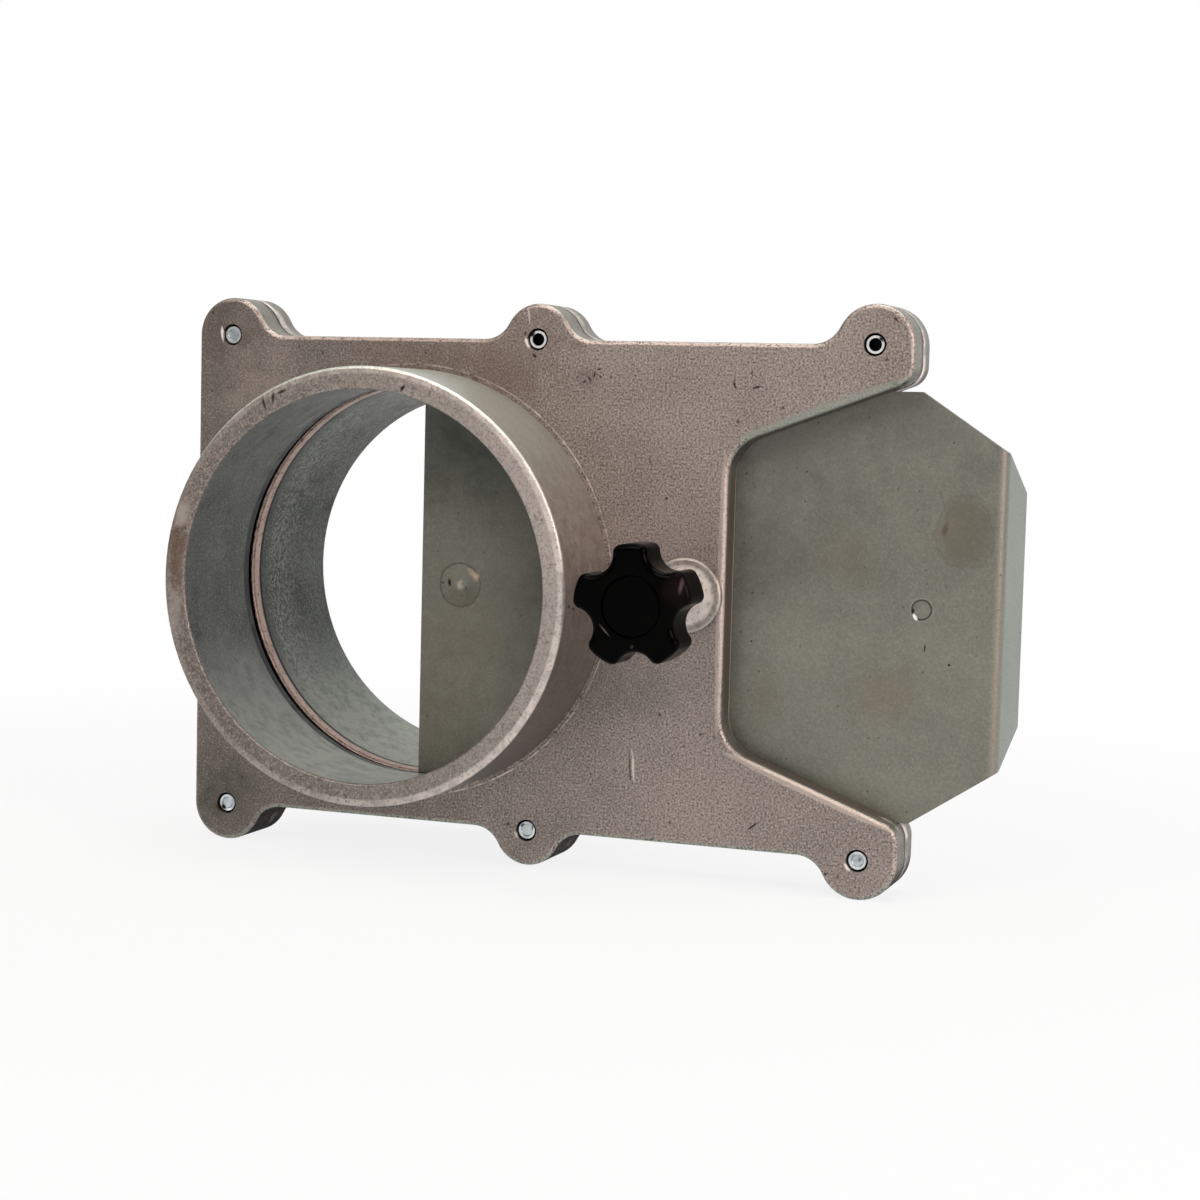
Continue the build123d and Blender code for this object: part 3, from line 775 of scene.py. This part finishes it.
@dataclass(frozen=True)
class MouldedPhenolic:
    """Black phenolic, pressed in a polished mould.

    To the eye that is a deep black with soft reflections on the lobes, a painted brown reflection on one
    lobe, and a painted highlight on the cap's rim drawn like a scratch.
    """

    name: str = "black_phenolic_pressed_in_polished_mould"
    black_hex: str = "#010101"
    rubbed_hex: str = "#030302"
    specular_level: float = 0.03
    roughness: float = 0.16
    rub_mm: float = 5.0
    orange_peel_mm: float = 1.4
    relief_mm: float = 0.006
    marks: tuple[Mark, ...] = (
        # Painted reflection on one lobe: a brown tint with a pinkish dab
        Mark((80.8, -37.9, 4.4), 9, 10, "#261b1a", strength=0.5, core=0, wander=0.8, depth=3),
        Mark((81.3, -38, 4.9), 1.3, 4.2, "#5d4a4a", turn=-8, core=0.1, wander=0.8, depth=2),
        # Painted highlight on the cap's rim, drawn like a scratch
        Mark((64.2, -38.4, -5.4), 4.2, 0.5, "#5a5452", turn=-46, core=0.1, wander=0.3),
        Mark((70.6, -38.4, -8.6), 1.2, 0.8, "#322e2d", turn=60, wander=0.8),
    )

    def material(self) -> bpy.types.Material:
        """Builds the knob's material.

        Returns:
            The finished material.
        """
        material, add, coords = start_material(self.name)
        position = coords.outputs["Object"]
        rub = add(
            Node.NOISE, {0: position, "Scale": per_metre(self.rub_mm), "Detail": 5.0, "Roughness": 0.65}
        )
        tone = add(Node.RANGE, {0: rub, 1: 0.45, 2: 0.7})
        waves = add(Node.VECTOR, {0: rub.outputs["Color"], 1: HALF}, operation="SUBTRACT")
        layers = [(self.rubbed_hex, tone)]
        layers += [mark.layer(add, position, waves) for mark in self.marks]
        colour = lay_over(add, self.black_hex, layers)
        dull = self.roughness + 0.14
        rough = add(Node.RANGE, {0: rub, 1: 0.4, 2: 0.7, 3: self.roughness, 4: dull})
        peel_scale = per_metre(self.orange_peel_mm)
        peel = add(Node.NOISE, {0: position, "Scale": peel_scale, "Detail": 1.0})
        relief = add(Node.BUMP, {"Height": peel, "Distance": self.relief_mm * MM})
        look = {"Base Color": colour, "Roughness": rough, "Normal": relief}
        look["Specular IOR Level"] = self.specular_level
        add(Node.OUTPUT, {"Surface": add(Node.SHADER, look)})
        return material


def dress(piece: bpy.types.Object, material: bpy.types.Material) -> None:
    """Gives a solid of the frame or a new piece one finish all over."""
    piece.data.materials.clear()
    piece.data.materials.append(material)


def edit_new(name: str) -> bpy.types.Object:
    """Names the primitive that was just added and opens it in edit mode.

    Args:
        name: The piece's name.

    Returns:
        The new object.
    """
    piece = bpy.context.object
    piece.name = name
    piece.data.name = name
    bpy.ops.object.mode_set(mode="EDIT")
    return piece


def clear_selection() -> None:
    """Deselects every object."""
    bpy.ops.object.select_all(action="DESELECT")


def select_only(piece: bpy.types.Object) -> None:
    """Selects one piece and makes it the active one.

    Args:
        piece: The piece, in object mode.
    """
    clear_selection()
    piece.select_set(True)
    bpy.context.view_layer.objects.active = piece


def discard(piece: bpy.types.Object) -> None:
    """Removes a helper piece and its mesh.

    Args:
        piece: The piece, which nothing else uses.
    """
    mesh = piece.data
    bpy.data.objects.remove(piece)
    bpy.data.meshes.remove(mesh)


def pick_end(end: End) -> None:
    """Selects the faces at one end of the mesh under edit, by their normals.

    Args:
        end: The end whose faces are picked.
    """
    bpy.ops.mesh.select_all(action="DESELECT")
    bpy.ops.mesh.select_mode(type="FACE")
    mesh = bpy.context.object.data
    shape = bmesh.from_edit_mesh(mesh)
    for face in shape.faces:
        face.select_set(face.normal.z * end.value > 0.9)
    shape.select_flush_mode()
    bmesh.update_edit_mesh(mesh)


def close_mesh() -> None:
    """Turns the faces of the mesh under edit outwards and goes back to object mode."""
    bpy.ops.mesh.select_all(action="SELECT")
    bpy.ops.mesh.normals_make_consistent(inside=False)
    bpy.ops.object.mode_set(mode="OBJECT")


def draw_out(rise: float, scale: float = 1.0) -> None:
    """Extrudes the picked end along Z by a rise in mm, and scales the new end about the Z axis."""
    bpy.ops.mesh.extrude_region_move(TRANSFORM_OT_translate={"value": (0.0, 0.0, rise * MM)})
    bpy.ops.transform.resize(value=(scale, scale, 1.0), center_override=(0.0, 0.0, 0.0))


def lay_along_duct(piece: bpy.types.Object, place: Vector) -> None:
    """Turns a piece modelled along +Z so that it points along -Y, and applies its place to its mesh.

    Args:
        piece: The finished piece, in object mode.
        place: Where its own origin goes, in metres.
    """
    select_only(piece)
    piece.matrix_world = Matrix.Translation(place) @ Matrix.Rotation(math.pi / 2, 4, "X")
    bpy.ops.object.transform_apply(location=True, rotation=True, scale=True)


def apply_boolean(piece: bpy.types.Object, tool: bpy.types.Object, cut: Cut) -> None:
    """Cuts or trims a piece with a tool body and removes the tool.

    Args:
        piece: What is cut.
        tool: The cutting body.
        cut: What the tool does to the piece.
    """
    select_only(piece)
    bpy.ops.object.modifier_add(type="BOOLEAN")
    modifier = piece.modifiers[-1]
    modifier.operation = cut.value
    modifier.object = tool
    modifier.solver = "MANIFOLD"
    bpy.ops.object.modifier_apply(modifier=modifier.name)
    discard(tool)


def smooth(piece: bpy.types.Object, angle: float = 32.0) -> None:
    """Shades a piece smooth, apart from edges sharper than an angle in degrees."""
    select_only(piece)
    bpy.ops.object.shade_smooth_by_angle(angle=math.radians(angle))


@dataclass
class CaseScrews:
    """Six pan-head screws that hold the castings together, driven from the back.

    Each is modelled along +Z with its bearing face at the origin, and then laid along the duct.
    """

    columns_x: tuple[float, ...] = (-49.1, 31.7, 112.5)
    rows_z: tuple[float, float] = (58.2, -58.2)
    bearing_y: float = 16.0
    length: float = 15.5
    thread_radius: float = 2.4
    core_radius: float = 2.08
    pitch: float = 0.8
    ridges: int = 7
    ridge_shares: tuple[float, ...] = (0.3, 0.15, 0.3, 0.25)
    tip_radius: float = 2.05
    tip_length: float = 0.5
    cup_radius: float = 1.5
    cup_taper: float = 0.85
    cup_depths: tuple[float, float] = (0.35, 2.5)
    deep_cups: tuple[int, ...] = (2, 3)
    head_radius: float = 4.6
    head_height: float = 3.2
    head_rounding: float = 1.6
    crown_steps: int = 8
    recess_span: float = 4.6
    recess_width: float = 1.15
    recess_depth: float = 1.9
    recess_taper: tuple[float, float] = (0.3, 0.6)
    facets: int = 40

    def build_pattern(self, cup_depth: float) -> bpy.types.Object:
        """Models one screw at the origin.

        Args:
            cup_depth: How deep the cup in its point is, in mm.

        Returns:
            The screw, in object mode.
        """
        plain = self.length - self.ridges * self.pitch - self.tip_length
        clear_selection()
        bpy.ops.mesh.primitive_cylinder_add(
            vertices=self.facets, radius=self.core_radius * MM, depth=plain * MM
        )
        screw = edit_new("case_screw")
        bpy.ops.transform.translate(value=(0.0, 0.0, plain / 2 * MM))

        # Thread up to the tip, then the chamfer and the cup of the point
        pick_end(End.UPPER)
        swell = self.thread_radius / self.core_radius
        for _ in range(self.ridges):
            for share, scale in zip(self.ridge_shares, (swell, 1.0, 1 / swell, 1.0)):
                draw_out(share * self.pitch, scale)
        draw_out(self.tip_length, self.tip_radius / self.core_radius)
        draw_out(0.0, self.cup_radius / self.tip_radius)
        draw_out(-cup_depth, self.cup_taper)

        # Pan head with a rounded crown
        pick_end(End.LOWER)
        draw_out(0.0, self.head_radius / self.core_radius)
        draw_out(self.head_rounding - self.head_height)
        steps = self.crown_steps
        radius = self.head_radius
        for step in range(1, steps):
            angle = math.pi / 2 * step / steps
            before = math.pi / 2 * (step - 1) / steps
            rise = self.head_rounding * (math.sin(angle) - math.sin(before))
            wanted = self.head_radius - self.head_rounding * (1 - math.cos(angle))
            draw_out(-rise, wanted / radius)
            radius = wanted
        bpy.ops.mesh.select_all(action="SELECT")
        bpy.ops.mesh.remove_doubles(threshold=1e-6)
        close_mesh()
        apply_boolean(screw, self.build_recess(), Cut.AWAY)
        smooth(screw, 20.0)
        return screw

    def build_recess(self) -> bpy.types.Object:
        """Models the tapered cross that the driver fits, as a cutting tool.

        Returns:
            The cutting tool, in object mode.
        """
        above = 1.0
        clear_selection()
        bpy.ops.mesh.primitive_cube_add(size=1.0)
        tool = edit_new("driver_cross")
        bpy.ops.transform.resize(
            value=(self.recess_span * MM, self.recess_width * MM, (self.recess_depth + above) * MM),
            center_override=(0.0, 0.0, 0.0),
        )
        middle = -self.head_height + (self.recess_depth - above) / 2
        bpy.ops.transform.translate(value=(0.0, 0.0, middle * MM))
        pick_end(End.UPPER)
        bpy.ops.transform.resize(value=(*self.recess_taper, 1.0), center_override=(0.0, 0.0, 0.0))
        bpy.ops.mesh.select_all(action="SELECT")
        bpy.ops.mesh.duplicate()
        bpy.ops.transform.rotate(value=math.pi / 2, orient_axis="Z", center_override=(0.0, 0.0, 0.0))
        bpy.ops.object.mode_set(mode="OBJECT")
        return tool

    def build(self, material: bpy.types.Material) -> list[bpy.types.Object]:
        """Copies the screw to its six places.

        Args:
            material: The screws' finish.

        Returns:
            The six screws.
        """
        shallow, deep = (self.build_pattern(depth) for depth in self.cup_depths)
        screws = []
        places = [(x, z) for z in self.rows_z for x in self.columns_x]
        for number, (x, z) in enumerate(places, start=1):
            pattern = deep if number in self.deep_cups else shallow
            screw = pattern.copy()
            screw.data = pattern.data.copy()
            screw.name = f"case_screw_{number}"
            bpy.context.collection.objects.link(screw)
            lay_along_duct(screw, Vector((x, self.bearing_y, z)) * MM)
            dress(screw, material)
            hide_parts("case_screws")
            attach(screw, Body.CASE.value)
            screws.append(screw)
        for pattern in (shallow, deep):
            discard(pattern)
        return screws


@dataclass
class ClampStud:
    """Threaded stud from inside the knob to the blade, with a chamfered point.

    It is modelled along +Z from its point, and then laid along the duct.
    """

    place_x: float = 70.0
    tip_y: float = 6.6
    length: float = 42.0
    radius: float = 3.0
    core_radius: float = 2.45
    tip_radius: float = 2.3
    pitch: float = 1.0
    ridge_shares: tuple[float, ...] = (0.38, 0.12, 0.38, 0.12)
    steps: int = 28
    facets: int = 64

    def build(self, material: bpy.types.Material) -> bpy.types.Object:
        """Models the stud in its place.

        Args:
            material: The stud's finish.

        Returns:
            The stud.
        """
        stud = self.build_thread()
        apply_boolean(stud, self.build_blank(), Cut.TO_SIZE)
        smooth(stud)
        lay_along_duct(stud, Vector((self.place_x, self.tip_y, 0.0)) * MM)
        dress(stud, material)
        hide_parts("clamp_stud")
        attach(stud, Body.STUD.value)
        return stud

    def build_thread(self) -> bpy.types.Object:
        """Winds one turn's profile up into a closed thread that is longer than the stud.

        Returns:
            The thread, in object mode.
        """
        spare = 2
        clear_selection()
        bpy.ops.mesh.primitive_plane_add(size=self.pitch * MM)
        thread = edit_new("clamp_stud_thread")
        bpy.ops.mesh.select_mode(type="VERT")
        bpy.ops.mesh.select_all(action="SELECT")
        bpy.ops.mesh.merge(type="CENTER")
        bpy.ops.transform.translate(value=(self.core_radius * MM, 0.0, -spare * self.pitch * MM))
        flank = self.radius - self.core_radius
        for out, rise in zip((flank, 0.0, -flank, 0.0), self.ridge_shares):
            bpy.ops.mesh.extrude_vertices_move(
                TRANSFORM_OT_translate={"value": (out * MM, 0.0, rise * self.pitch * MM)}
            )
        bpy.ops.object.mode_set(mode="OBJECT")
        bpy.ops.object.modifier_add(type="SCREW")
        winding = thread.modifiers[-1]
        winding.axis = "Z"
        winding.angle = 2 * math.pi
        winding.screw_offset = self.pitch * MM
        winding.iterations = round(self.length / self.pitch) + 2 * spare
        winding.steps = self.steps
        winding.render_steps = self.steps
        bpy.ops.object.modifier_apply(modifier=winding.name)
        bpy.ops.object.mode_set(mode="EDIT")
        bpy.ops.mesh.select_all(action="SELECT")
        bpy.ops.mesh.remove_doubles(threshold=1e-6)
        overhang = 0.4 * self.pitch
        for height, direction in ((-overhang, -1.0), (self.length + overhang, 1.0)):
            bpy.ops.mesh.select_all(action="SELECT")
            bpy.ops.mesh.bisect(
                plane_co=(0.0, 0.0, height * MM),
                plane_no=(0.0, 0.0, direction),
                use_fill=True,
                clear_outer=True,
                clear_inner=False,
                threshold=1e-7,
            )
        close_mesh()
        return thread

    def build_blank(self) -> bpy.types.Object:
        """Models the turned bar that the thread is cut on, chamfered at both ends.

        Returns:
            The bar, in object mode.
        """
        chamfer = self.radius - self.tip_radius
        slack = 0.001
        clear_selection()
        bpy.ops.mesh.primitive_cylinder_add(
            vertices=self.facets,
            radius=(self.radius + slack) * MM,
            depth=(self.length - 2 * chamfer) * MM,
        )
        bar = edit_new("clamp_stud_bar")
        bpy.ops.transform.translate(value=(0.0, 0.0, self.length / 2 * MM))
        for end in (End.LOWER, End.UPPER):
            pick_end(end)
            draw_out(end.value * chamfer, self.tip_radius / self.radius)
        close_mesh()
        return bar


@dataclass
class KeptSolids:
    """Pieces of one finish that keep the shapes of their solids.

    Args:
        nodes: The pieces' names in the frame.
    """

    nodes: tuple[str, ...] = ()

    def build(self, frame: dict[str, Any], material: bpy.types.Material) -> list[bpy.types.Object]:
        """Dresses the pieces.

        Args:
            frame: The loaded frame.
            material: Their finish.

        Returns:
            The dressed pieces.
        """
        pieces = [frame["nodes"][node] for node in self.nodes]
        for piece in pieces:
            dress(piece, material)
        return pieces


@dataclass
class Castings(KeptSolids):
    """The two cast halves."""

    nodes: tuple[str, ...] = ("front_casting", "rear_casting")


@dataclass
class Blade(KeptSolids):
    """The folded sheet blade."""

    nodes: tuple[str, ...] = ("gate_blade",)


@dataclass
class Knob(KeptSolids):
    """The lobed knob and its cap."""

    nodes: tuple[str, ...] = ("clamp_knob", "knob_cap")


@dataclass(frozen=True)
class SoftBox:
    """A square lamp aimed at the gate.

    Args:
        name: The lamp's name.
        place: Where it stands, in metres.
        size: Its side in metres.
        watts: Its power.
        hex_colour: Its colour.
    """

    name: str
    place: Place
    size: float
    watts: float
    hex_colour: str = "#ffffff"

    def build(self, aim: Vector) -> None:
        """Hangs the lamp.

        Args:
            aim: The point that it faces.
        """
        light = bpy.data.lights.new(self.name, "AREA")
        light.shape = "SQUARE"
        light.size = self.size
        light.energy = self.watts
        light.color = linear(self.hex_colour)[:3]
        lamp = bpy.data.objects.new(self.name, light)
        lamp.location = self.place
        lamp.rotation_mode = "QUATERNION"
        lamp.rotation_quaternion = (aim - Vector(self.place)).to_track_quat("-Z", "Y")
        bpy.context.scene.collection.objects.link(lamp)


@dataclass
class Studio:
    """White floor and backdrop, soft lamps, and the camera at the photograph's angle."""

    eye_mm: Place = (237.05, -513.94, 42.3)
    azimuth: float = 20.1025
    elevation: float = 4.6454
    roll: float = 1.4873
    lens_mm: float = 70.444
    sensor_mm: float = 36.0
    paper_side: float = 8.0
    backdrop_y: float = 2.5
    paper_hex: str = "#d6d6d6"
    room_low_hex: str = "#9a8e88"
    room_high_hex: str = "#dde6df"
    room_strength: float = 0.5
    room_heights: tuple[float, float] = (-0.2, 0.9)
    near_white: float = 0.86
    shadow_reach: tuple[float, float] = (0.16, 0.4)
    lamp_aim: Place = (0.03, 0.0, 0.0)
    lamps: tuple[SoftBox, ...] = (
        SoftBox("front_lamp", (-0.25, -1.1, 1.05), 0.8, 10.0, "#fff3ee"),
        SoftBox("top_lamp", (0.2, 0.05, 1.3), 1.0, 11.0, "#f4fcf6"),
        SoftBox("side_lamp", (1.15, -0.6, 0.45), 0.5, 7.5, "#fff6f2"),
    )

    def build(self, floor_z: float) -> None:
        """Sets up floor, backdrop, lamps, world and camera.

        Args:
            floor_z: The height that the gate stands at, in metres.
        """
        half = self.paper_side / 2
        self.build_paper("studio_floor", (0.0, 0.0, floor_z), 0.0, self.near_white)
        self.build_paper("studio_backdrop", (0.0, self.backdrop_y, floor_z + half), math.pi / 2, 1.0)
        for lamp in self.lamps:
            lamp.build(Vector(self.lamp_aim))
        self.build_world()
        self.build_camera()
        bpy.context.scene.view_settings.view_transform = "Standard"

    def build_paper(self, name: str, place: Place, tilt: float, near_white: float) -> None:
        """Hangs or lays a sheet of paper that the eye sees as white away from the gate and its shadow.

        Args:
            name: The sheet's name.
            place: The sheet's middle, in metres.
            tilt: How far it is tilted up about X, in radians.
            near_white: The share of pure white that the eye gets close to the gate.
        """
        clear_selection()
        bpy.ops.mesh.primitive_plane_add(size=self.paper_side, location=place, rotation=(tilt, 0.0, 0.0))
        sheet = bpy.context.object
        sheet.name = name
        material, add, coords = start_material(f"matt_white_paper_{name}")
        rays = add(Node.RAYS)
        seen: Any = rays.outputs["Is Camera Ray"]
        for ray in ("Is Glossy Ray", "Is Transmission Ray"):
            seen = add(Node.MATH, {0: seen, 1: rays.outputs[ray]}, operation="MAXIMUM")
        reach = add(Node.VECTOR, {0: coords.outputs["Object"]}, operation="LENGTH")
        first, last = self.shadow_reach
        far = add(Node.RANGE, {0: reach, 1: first, 2: last, 3: near_white, 4: 1.0})
        paper = add(Node.MATT, {"Color": linear(self.paper_hex)})
        glow = add(Node.GLOW, {"Strength": 1.0})
        mixed = add(Node.MIX_SHADERS, {0: overlap(add, far, seen), 1: paper, 2: glow})
        add(Node.OUTPUT, {"Surface": mixed})
        sheet.data.materials.append(material)
        sheet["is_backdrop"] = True

    def build_world(self) -> None:
        """Surrounds the gate with a soft room: pale above, dimmer and warmer below, and white to the eye."""
        world = bpy.data.worlds.new("studio_room")
        world.use_nodes = True
        bpy.context.scene.world = world
        world.node_tree.nodes.clear()
        add = partial(add_node, world.node_tree)
        coords = add(Node.COORDS)
        direction = add(Node.SPLIT, {0: coords.outputs["Generated"]})
        first, last = self.room_heights
        height = add(Node.RANGE, {0: direction.outputs["Z"], 1: first, 2: last})
        seen = add(Node.RAYS).outputs["Is Camera Ray"]
        room = lay_over(add, self.room_low_hex, [(self.room_high_hex, height), ("#ffffff", seen)])
        strength = add(Node.RANGE, {0: seen, 3: self.room_strength, 4: 1.0})
        sky = add(Node.SKY, {"Color": room, "Strength": strength})
        add(Node.SKY_OUTPUT, {"Surface": sky})

    def build_camera(self) -> None:
        """Places the camera where the photograph was taken from."""
        angles = (self.azimuth, self.elevation, self.roll)
        azimuth, elevation, roll = (math.radians(angle) for angle in angles)
        back = Vector(
            (
                math.sin(azimuth) * math.cos(elevation),
                -math.cos(azimuth) * math.cos(elevation),
                math.sin(elevation),
            )
        )
        level = Vector((math.cos(azimuth), math.sin(azimuth), 0.0))
        upright = back.cross(level)
        right = level * math.cos(roll) + upright * math.sin(roll)
        up = upright * math.cos(roll) - level * math.sin(roll)
        data = bpy.data.cameras.new("photo_camera")
        data.sensor_width = self.sensor_mm
        data.lens = self.lens_mm
        data.clip_start = 0.01
        data.clip_end = 50.0
        camera = bpy.data.objects.new("photo_camera", data)
        turn = Matrix((right, up, back)).transposed().to_4x4()
        camera.matrix_world = Matrix.Translation(Vector(self.eye_mm) * MM) @ turn
        bpy.context.scene.collection.objects.link(camera)
        bpy.context.scene.camera = camera


def main() -> None:
    """Loads the frame, builds and dresses the gate piece by piece, and reports each piece."""
    logging.basicConfig(level=logging.INFO, format="%(message)s")
    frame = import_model()
    solid_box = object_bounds()
    zinc = ZincPlate().material()
    pieces = [
        *Castings().build(frame, SandCastAluminium().material()),
        *Blade().build(frame, GalvanisedSheet().material()),
        *Knob().build(frame, MouldedPhenolic().material()),
        *CaseScrews().build(zinc),
        ClampStud().build(zinc),
    ]
    for piece in pieces:
        finish = piece.data.materials[0].name
        log.info("%s: %d faces, %s", piece.name, len(piece.data.polygons), finish)
    Studio().build(solid_box[0].z)


if __name__ == "__main__":
    main()
